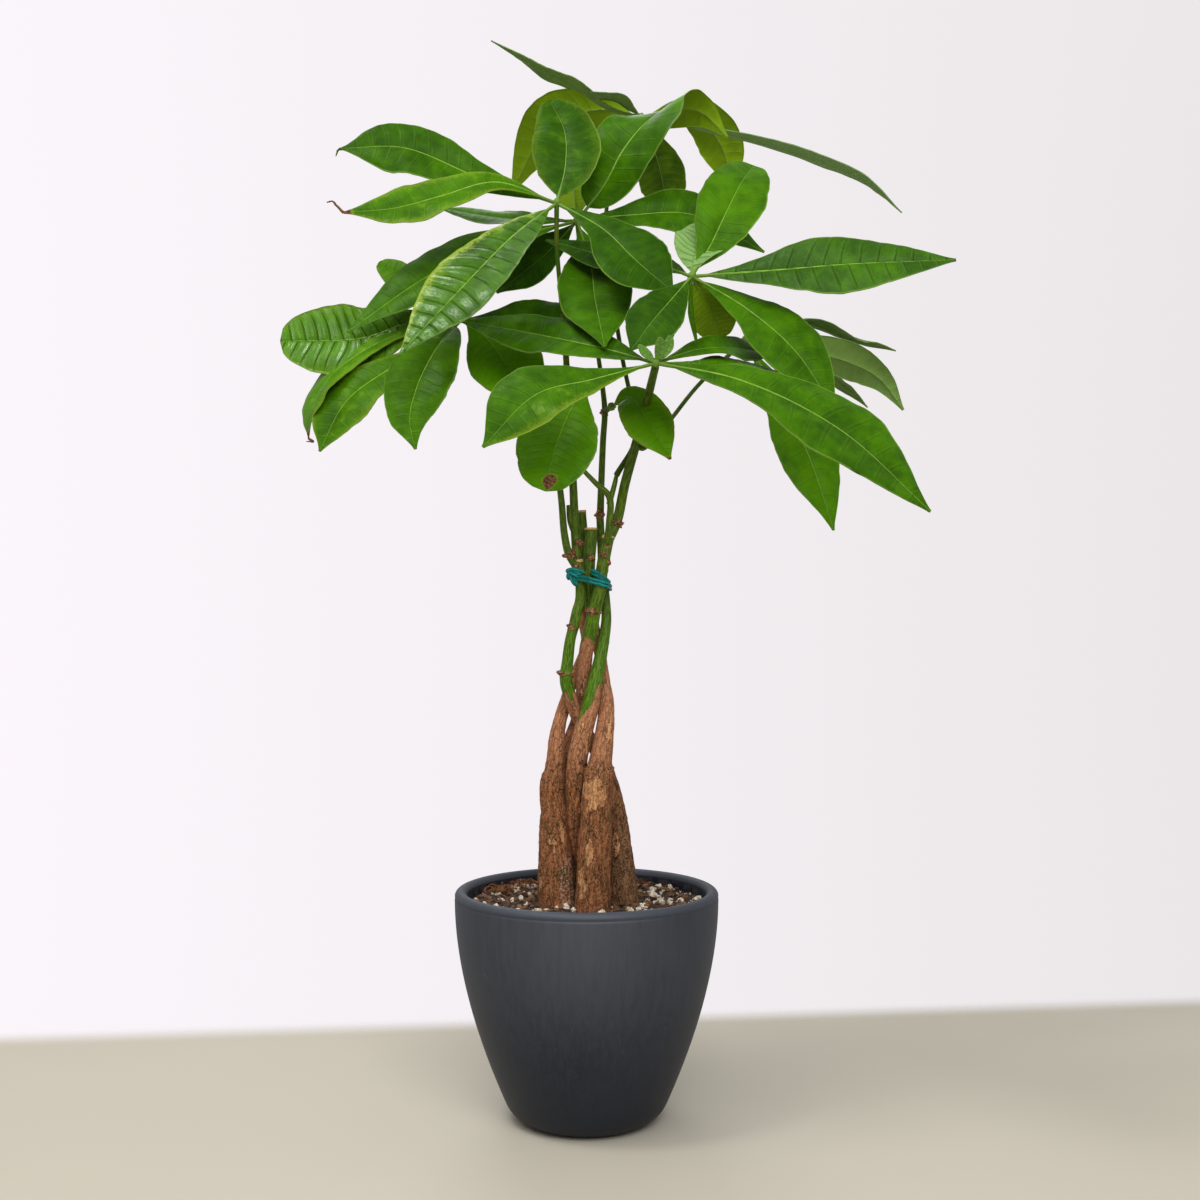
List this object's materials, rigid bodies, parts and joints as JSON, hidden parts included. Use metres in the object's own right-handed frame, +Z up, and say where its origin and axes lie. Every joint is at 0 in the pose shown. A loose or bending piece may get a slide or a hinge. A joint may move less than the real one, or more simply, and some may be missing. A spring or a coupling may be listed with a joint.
{
  "type": "potted money tree",
  "caption": "Potted money tree: slim trunks braided and tied in a tapered charcoal pot of soil, with palmate leaves on green shoots",
  "frame": {"origin": "centre of the pot's flat underside", "axes": "+Z up, -Y towards the side that the picture shows, +X to its right"},
  "size_m": [0.3953, 0.2578, 0.6767],
  "materials": {
    "pot_shell": "matte charcoal with fine vertical streaks",
    "potting_mix": "rough dark potting mix of bark, fibre and white grit",
    "bark": "rough brown bark with tan peeled patches, green and smooth above",
    "tie_cord": "smooth teal cord",
    "leaf": "satin green leaf with pale veins"
  },
  "bodies": {
    "root": {"pot": "pot_shell", "soil": "potting_mix", "trunk_back": "bark", "trunk_centre": "bark", "trunk_front": "bark", "trunk_right": "bark", "trunk_left": "bark", "tie": "tie_cord", "leaf_upper_left": "leaf", "leaf_right": "leaf", "leaf_front": "leaf", "leaf_left": "leaf", "leaf_right_back": "leaf", "leaf_top": "leaf", "leaf_middle": "leaf", "leaf_hanging": "leaf", "leaf_small": "leaf"}
  },
  "joints": []
}
